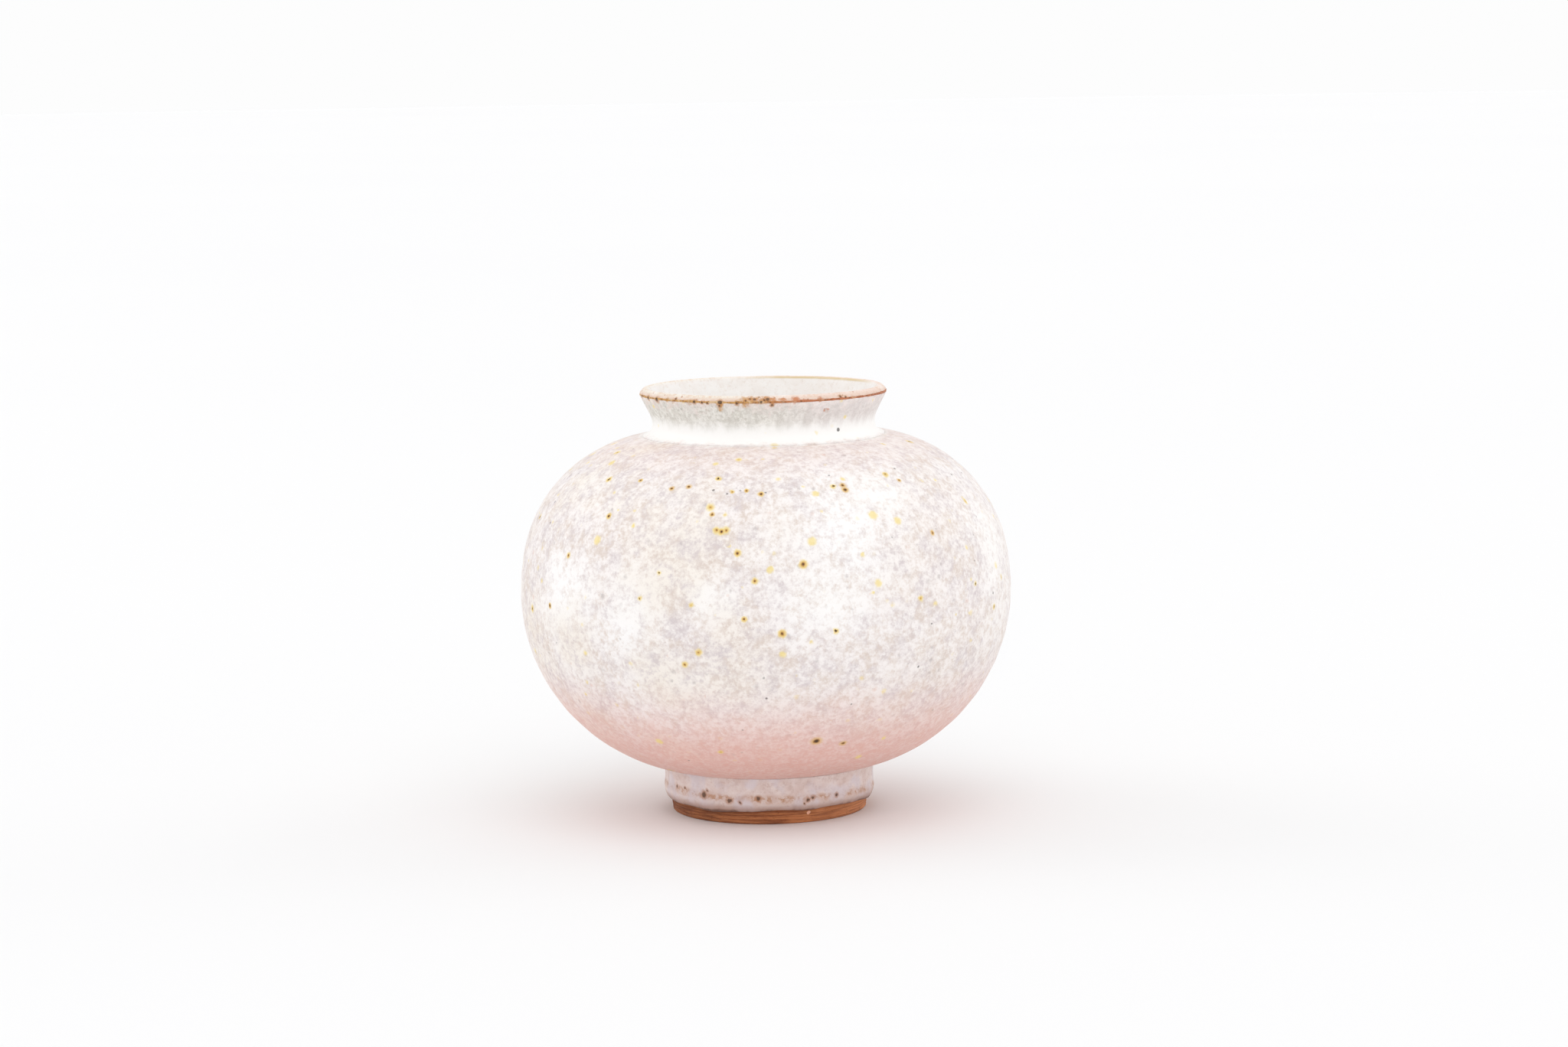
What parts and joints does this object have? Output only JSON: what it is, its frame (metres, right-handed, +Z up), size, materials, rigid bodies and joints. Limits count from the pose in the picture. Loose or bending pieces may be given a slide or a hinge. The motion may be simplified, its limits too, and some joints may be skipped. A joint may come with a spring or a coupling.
{
  "type": "bud vase",
  "caption": "Miniature round-bellied stoneware bud vase with a short flared neck, a rolled lip and a turned foot ring, under a speckled white glaze.",
  "frame": {"origin": "middle of the foot's resting face, at the bottom of the vase", "axes": "+Z up, along the axis that the vase is turned about; the vase has no front, so +X and +Y are any two level directions"},
  "size_m": [0.048, 0.048, 0.0416],
  "materials": {
    "foot_clay": "matte",
    "body_clay": "matte",
    "lip_clay": "matte",
    "speckled_glaze": "satin",
    "neck_glaze": "satin",
    "foot_glaze": "satin",
    "liner_glaze": "satin"
  },
  "bodies": {
    "root": {"foot_ring": "foot_clay", "belly": "body_clay", "neck": "lip_clay", "belly_glaze": "speckled_glaze", "neck_glaze": "neck_glaze", "foot_glaze": "foot_glaze", "liner_glaze": "liner_glaze"}
  },
  "joints": []
}
